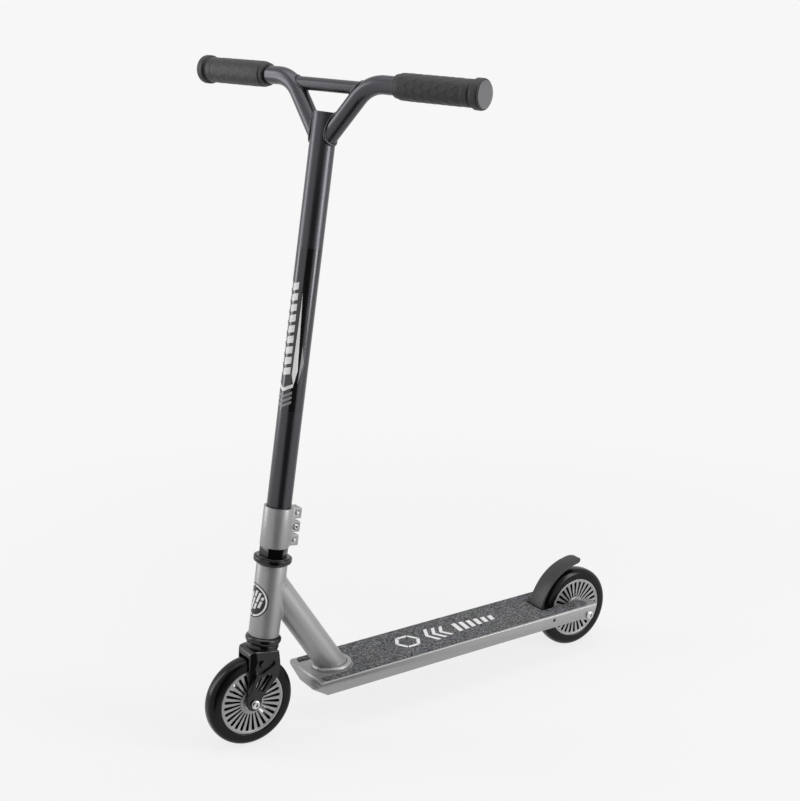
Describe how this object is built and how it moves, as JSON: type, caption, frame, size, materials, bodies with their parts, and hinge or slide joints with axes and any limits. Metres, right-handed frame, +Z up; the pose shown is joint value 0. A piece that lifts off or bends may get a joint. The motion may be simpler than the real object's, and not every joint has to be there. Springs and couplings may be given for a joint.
{
  "type": "stunt scooter",
  "caption": "Two-wheeled stunt scooter with a one-piece Y handlebar, a clamped rigid fork, a narrow flat deck, spoked solid wheels and a rear fender brake.",
  "frame": {"origin": "on the floor, under the middle plane of the deck and midway between the two axles", "axes": "+Z up, +Y towards the rear wheel (the scooter rolls towards -Y), +X to the rider's left"},
  "size_m": [0.4312, 0.664, 0.8671],
  "materials": {
    "frame_paint": "satin light grey coat",
    "bar_paint": "satin dark grey paint",
    "black_steel": "semi-gloss black coat",
    "bright_steel": "bright zinc plate",
    "grip_rubber": "matte moulded rubber",
    "tyre_rubber": "smooth glossy cast polyurethane",
    "tape": "coarse grit",
    "cap": "matte",
    "brake_paint": "satin dark grey paint"
  },
  "bodies": {
    "frame": {"deck": "frame_paint", "grip_tape": "tape", "downtube": "frame_paint", "downtube_foot_weld": "frame_paint", "downtube_head_weld": "frame_paint", "head_tube": "frame_paint", "headset_upper_cup": "black_steel", "headset_lower_cup": "black_steel", "headset_upper_bearing": "bright_steel", "headset_lower_bearing": "bright_steel", "rear_axle_bolt": "bright_steel", "rear_axle_nut": "bright_steel", "rear_axle_spacer_left": "bright_steel", "rear_axle_spacer_right": "bright_steel", "brake_pivot_pin": "black_steel", "brake_spring": "bright_steel"},
    "steering": {"fork": "black_steel", "steerer_tube": "black_steel", "headset_crown_race": "black_steel", "headset_top_race": "black_steel", "headset_locknut": "black_steel", "bar_clamp": "frame_paint", "clamp_bolt_bottom": "bright_steel", "clamp_bolt_middle": "bright_steel", "clamp_bolt_top": "bright_steel", "bar_tube": "bar_paint", "bar_arm_left": "bar_paint", "bar_arm_right": "bar_paint", "bar_crossbar": "bar_paint", "grip_left": "grip_rubber", "grip_right": "grip_rubber", "grip_end_cap_left": "cap", "grip_end_cap_right": "cap", "front_axle_bolt": "bright_steel", "front_axle_nut": "bright_steel", "front_axle_spacer_left": "bright_steel", "front_axle_spacer_right": "bright_steel"},
    "front_wheel": {"front_wheel_tyre": "tyre_rubber", "front_wheel_core": "frame_paint", "front_wheel_bearing_left": "bright_steel", "front_wheel_bearing_right": "bright_steel", "front_wheel_bearing_sleeve": "bright_steel"},
    "rear_wheel": {"rear_wheel_tyre": "tyre_rubber", "rear_wheel_core": "frame_paint", "rear_wheel_bearing_left": "bright_steel", "rear_wheel_bearing_right": "bright_steel", "rear_wheel_bearing_sleeve": "bright_steel"},
    "brake": {"brake_fender": "brake_paint"}
  },
  "joints": [
    {"name": "steering_turn", "type": "hinge", "parent": "frame", "child": "steering", "pos_m": [0, -0.23282, 0.23705], "axis": [0, 0.1564, 0.9877], "continuous": true},
    {"name": "front_wheel_spin", "type": "hinge", "parent": "steering", "child": "front_wheel", "pos_m": [0, -0.272, 0.06], "axis": [1, 0, 0], "continuous": true},
    {"name": "rear_wheel_spin", "type": "hinge", "parent": "frame", "child": "rear_wheel", "pos_m": [0, 0.272, 0.06], "axis": [1, 0, 0], "continuous": true},
    {"name": "brake_press", "type": "hinge", "parent": "frame", "child": "brake", "pos_m": [0, 0.205, 0.0675], "axis": [-1, 0, 0], "range_deg": [0, 7.5], "stiffness_Nm_per_rad": 0.4, "springref_deg": -20.05}
  ]
}
